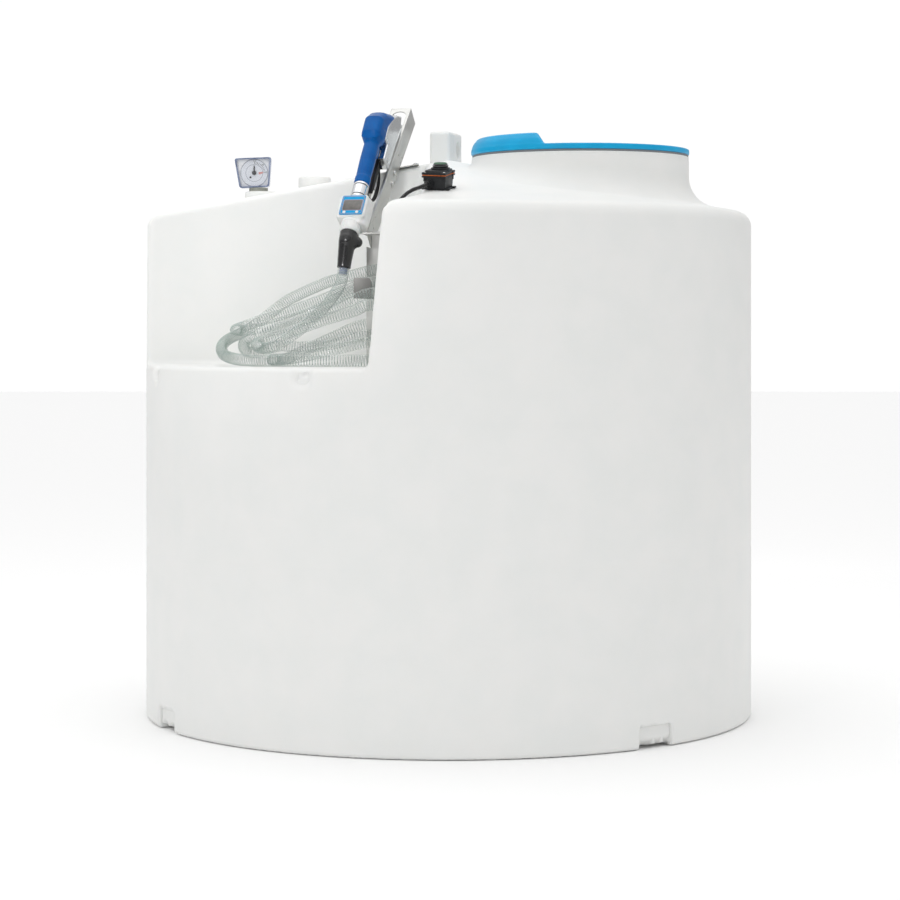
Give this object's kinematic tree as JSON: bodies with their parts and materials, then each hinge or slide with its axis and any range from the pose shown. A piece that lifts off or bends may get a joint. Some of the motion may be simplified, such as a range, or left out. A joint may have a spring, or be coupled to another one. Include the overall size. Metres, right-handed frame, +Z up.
{
  "type": "vertical storage tank",
  "caption": "Round upright plastic storage tank with a cone roof, hinged manhole lid, level gauge, vent, hose bay and a filling nozzle with a flow meter on its hose.",
  "frame": {"origin": "on the tank's axis, at the ground under its floor", "axes": "+Z up, the hose bay opens to -Y and -X, the manhole is to +X"},
  "size_m": [1.4, 1.4, 1.4058],
  "materials": {
    "tank": "white rotomoulded polyethylene, faintly textured",
    "seal": "grey rubber seal",
    "lid": "blue polyethylene",
    "steel": "brushed stainless steel",
    "grey": "grey plastic",
    "clear": "clear plastic",
    "dial": "white printed dial",
    "black": "black moulded plastic",
    "orange": "orange seal",
    "button": "green push button",
    "rubber": "black rubber",
    "cover": "blue glossy cover",
    "aluminium": "polished cast aluminium",
    "chrome": "chrome plated",
    "meter": "light grey moulded plastic",
    "label": "blue printed face",
    "hose": "clear flexible hose with a spiral"
  },
  "bodies": {
    "tank": {"wall_segment_1": "tank", "wall_segment_2": "tank", "wall_segment_3": "tank", "wall_segment_4": "tank", "wall_segment_5": "tank", "wall_segment_6": "tank", "wall_segment_7": "tank", "wall_segment_8": "tank", "floor": "tank", "roof": "tank", "bay_ledge": "tank", "bay_back_wall": "tank", "bay_side_wall": "tank", "manhole_neck": "tank", "manhole_seal": "seal", "lid_hinge_bracket": "lid", "lid_hinge_pin": "steel", "lifting_lug": "tank", "vent_boss": "tank", "vent_cap": "tank", "gauge_boss": "tank", "gauge_neck": "grey", "gauge_case": "clear", "gauge_dial": "dial", "gauge_window": "clear", "switch_base": "black", "switch_seal": "orange", "switch_lid": "black", "switch_button": "button", "cable_gland": "black", "switch_cable": "rubber", "cable_grommet": "rubber", "holder_channel": "steel", "holder_roof_foot": "steel", "holder_leg": "steel", "hose_hook": "steel", "nozzle_cover": "cover", "nozzle_body": "aluminium", "nozzle_spout": "aluminium", "lever_guard": "black", "nozzle_swivel": "chrome", "meter_housing": "meter", "meter_face": "label", "coupling_nut": "meter", "hose_boot": "rubber", "delivery_hose": "hose", "hose_outlet": "black"},
    "lid": {"manhole_lid": "lid"},
    "lever": {"trigger_lever": "black", "lever_latch": "chrome"},
    "pointer": {"gauge_pointer": "black"}
  },
  "joints": [
    {"name": "lid_hinge", "type": "hinge", "parent": "tank", "child": "lid", "pos_m": [0.3, 0.1395, 1.287], "axis": [-1, 0, 0], "range_deg": [0, 105]},
    {"name": "trigger_pull", "type": "hinge", "parent": "tank", "child": "lever", "pos_m": [-0.16292, -0.10641, 1.27137], "axis": [-0.9553, 0.2957, 0], "range_deg": [0, 12], "stiffness_Nm_per_rad": 1.5, "springref_deg": -5.73},
    {"name": "pointer_turn", "type": "hinge", "parent": "tank", "child": "pointer", "pos_m": [-0.4685, 0.2, 1.2622], "axis": [0, 1, 0], "range_deg": [-120, 120]}
  ]
}
